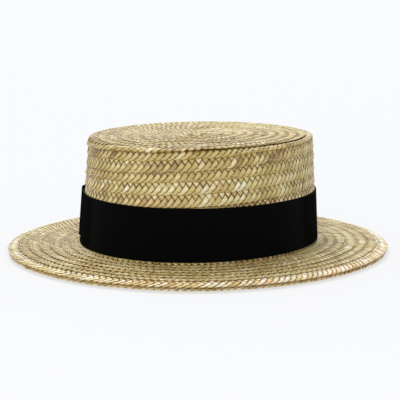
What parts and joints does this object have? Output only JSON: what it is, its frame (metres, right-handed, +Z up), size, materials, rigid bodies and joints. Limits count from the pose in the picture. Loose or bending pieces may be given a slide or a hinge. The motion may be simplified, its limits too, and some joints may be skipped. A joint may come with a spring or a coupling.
{
  "type": "straw boater hat",
  "caption": "Stiff straw boater with a flat oval crown, a flat brim, a wide black ribbon and a flat side bow; the head goes in from below.",
  "frame": {"origin": "on the surface the hat stands on, under the middle of the brim", "axes": "+Z up through the crown, +Y along the long way of the head, -X towards the bow"},
  "size_m": [0.2852, 0.3192, 0.0931],
  "materials": {
    "straw": "natural wheat straw, flat plaited braid sewn in lapped rows, satin gloss",
    "ribbon": "black ribbed grosgrain, matt with a faint sheen"
  },
  "bodies": {
    "root": {"crown_tip": "straw", "crown_side": "straw", "brim": "straw", "brim_edge_underlay": "straw", "hat_band": "ribbon", "bow_loop_front": "ribbon", "bow_loop_rear": "ribbon", "bow_knot": "ribbon"}
  },
  "joints": []
}
